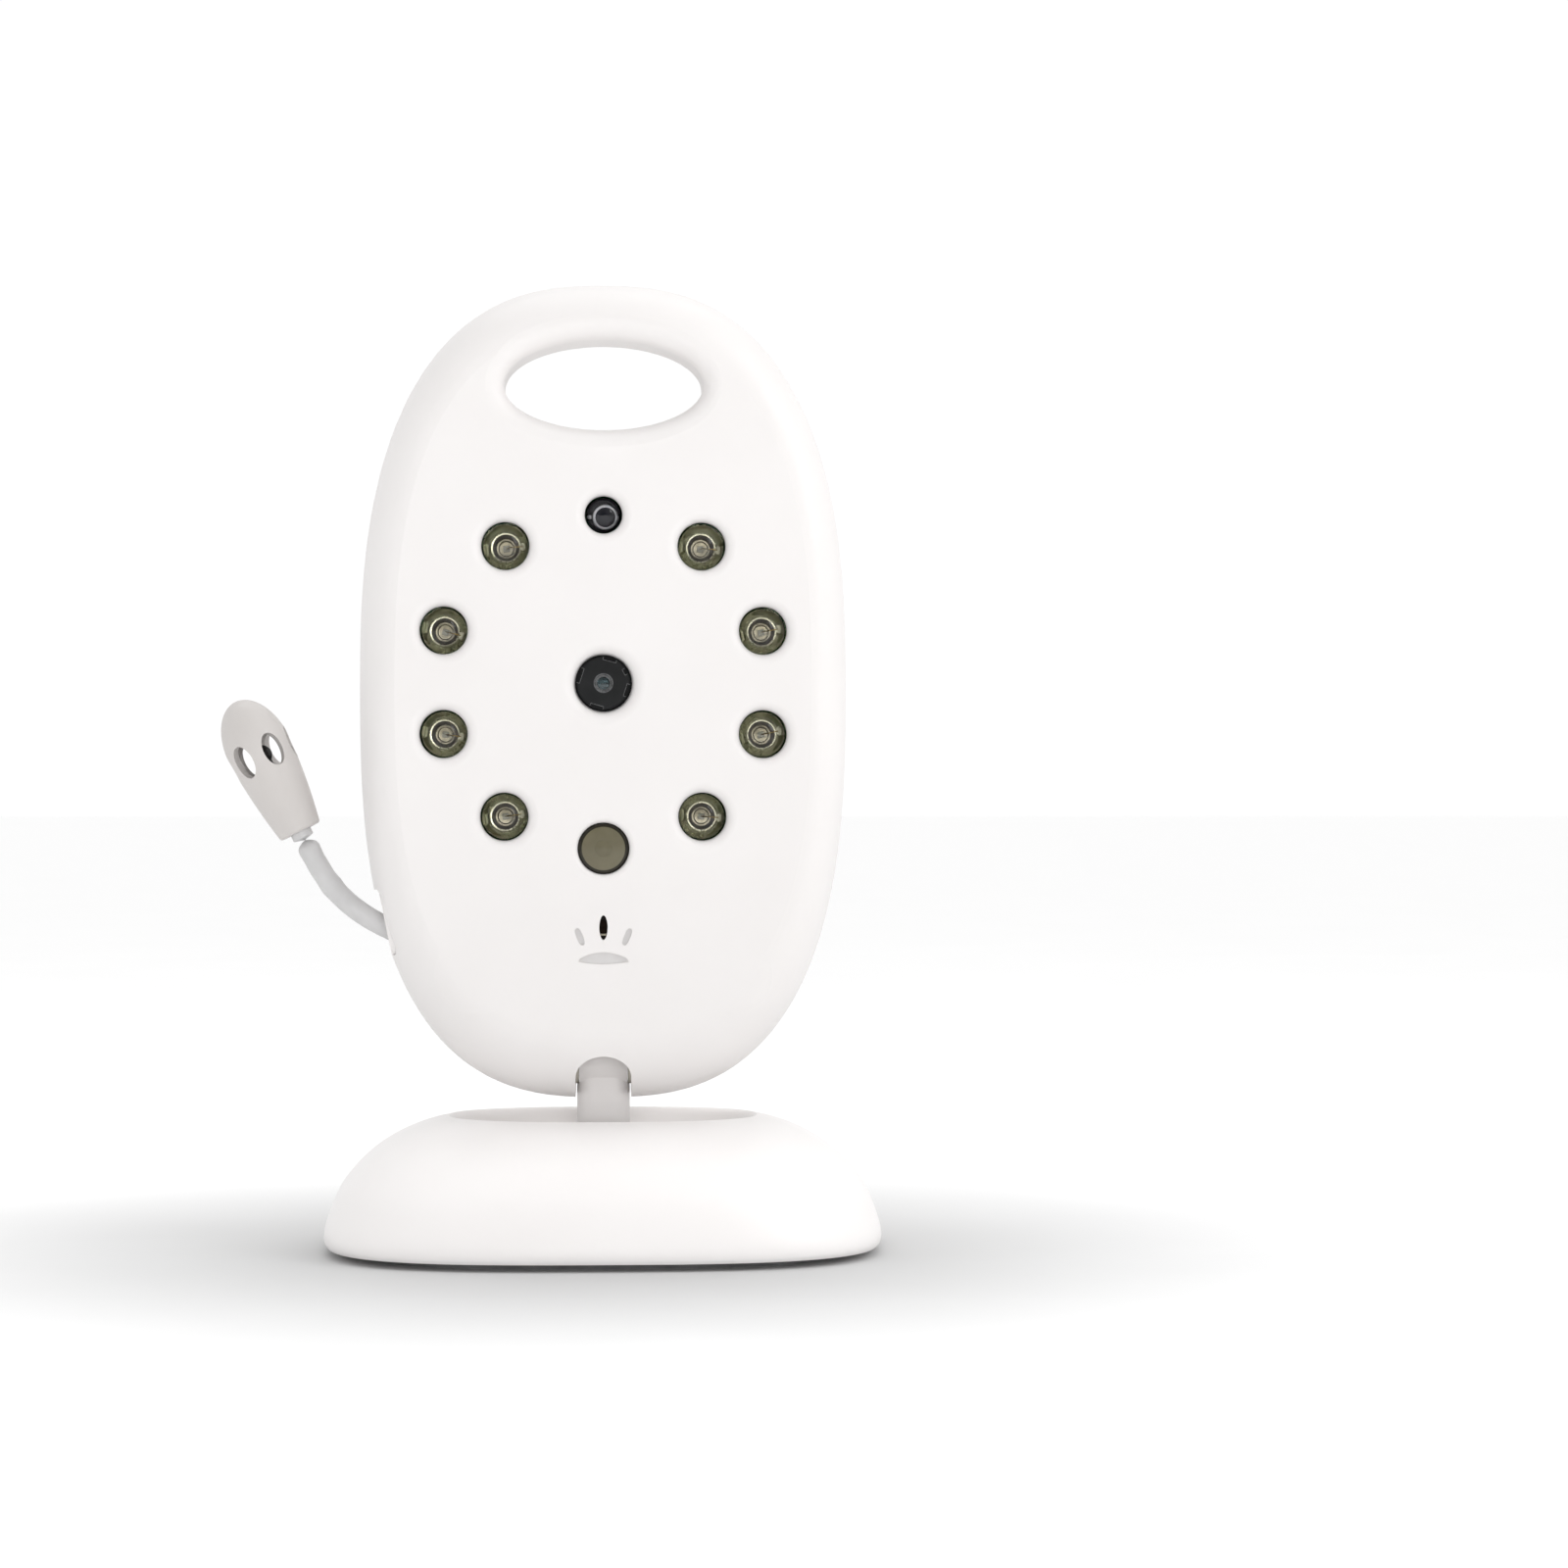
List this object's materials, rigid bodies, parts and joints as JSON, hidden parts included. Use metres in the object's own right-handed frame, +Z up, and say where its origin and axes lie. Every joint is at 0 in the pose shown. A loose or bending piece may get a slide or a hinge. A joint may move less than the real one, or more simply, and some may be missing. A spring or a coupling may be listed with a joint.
{
  "type": "baby monitor camera",
  "caption": "Upright oval nursery camera head with a finger-hole handle, infrared LEDs round a small lens and a side temperature probe, tilting on a stem that swivels in a low oval base.",
  "frame": {"origin": "centre of the underside of the base, on the surface it stands on", "axes": "+Z up; the camera faces -Y; +X is on the right of someone looking at its front, and the temperature probe is on the -X side"},
  "size_m": [0.0736, 0.0492, 0.1077],
  "materials": {
    "shell_white": "satin moulded ABS, very slightly warm white",
    "pad_rubber": "matt anti-slip sheet",
    "steel_plate": "plain pressed steel",
    "screw_steel": "zinc-plated screw steel",
    "board_green": "solder-masked glass-fibre board",
    "lens_black": "black anodised look, satin",
    "lens_glass": "coated optical glass",
    "sensor_dark": "dark infrared-pass epoxy",
    "smoked_window": "smoked translucent acrylic",
    "chip_clear": "small chip LED",
    "can_aluminium": "drawn can",
    "boot_rubber": "soft rubber",
    "tin_can": "tinned sheet",
    "connector_plastic": "black connector plastic",
    "speaker_black": "black speaker frame and cone",
    "button_grey": "light grey satin key",
    "lead_grey": "light grey moulded lead jacket",
    "thermistor_black": "black epoxy bead",
    "washer_nylon": "natural nylon",
    "led_clear": "clear epoxy LED body"
  },
  "bodies": {
    "base": {"base_shell": "shell_white", "base_plate": "shell_white", "base_weight": "steel_plate", "base_pad": "pad_rubber", "base_screw_1": "screw_steel", "base_screw_2": "screw_steel", "base_screw_3": "screw_steel"},
    "stem": {"stem": "shell_white", "swivel_washer": "steel_plate", "swivel_screw": "screw_steel"},
    "head": {"front_shell": "shell_white", "rear_shell": "shell_white", "tilt_screw": "screw_steel", "tilt_nut": "screw_steel", "led_board": "board_green", "lens_barrel": "lens_black", "lens_glass": "lens_glass", "lens_holder": "lens_black", "image_sensor": "sensor_dark", "status_window": "smoked_window", "status_led": "chip_clear", "microphone": "can_aluminium", "mic_boot": "boot_rubber", "main_board": "board_green", "rf_shield": "tin_can", "board_connector": "connector_plastic", "antenna": "board_green", "speaker": "speaker_black", "dc_jack": "connector_plastic", "pair_switch": "connector_plastic", "probe_lead": "lead_grey", "probe_collar": "shell_white", "thermistor": "thermistor_black", "light_sensor": "sensor_dark", "probe_capsule_left": "shell_white", "probe_capsule_right": "shell_white", "friction_washer_left": "washer_nylon", "friction_washer_right": "washer_nylon", "ir_led_1": "led_clear", "ir_led_2": "led_clear", "ir_led_3": "led_clear", "ir_led_4": "led_clear", "ir_led_5": "led_clear", "ir_led_6": "led_clear", "ir_led_7": "led_clear", "ir_led_8": "led_clear", "shell_screw_1": "screw_steel", "shell_screw_2": "screw_steel", "shell_screw_3": "screw_steel", "shell_screw_4": "screw_steel"},
    "pair_button": {"pair_button": "button_grey"}
  },
  "joints": [
    {"name": "swivel", "type": "hinge", "parent": "base", "child": "stem", "pos_m": [0, 0, 0.01], "axis": [0, 0, 1], "continuous": true},
    {"name": "tilt", "type": "hinge", "parent": "stem", "child": "head", "pos_m": [0, 0, 0.022], "axis": [1, 0, 0], "range_deg": [-45, 45]},
    {"name": "pair_press", "type": "slide", "parent": "head", "child": "pair_button", "axis": [0, -1, 0], "range_m": [0, 0.0008], "stiffness_N_per_m": 800, "springref_m": -0.0008}
  ]
}
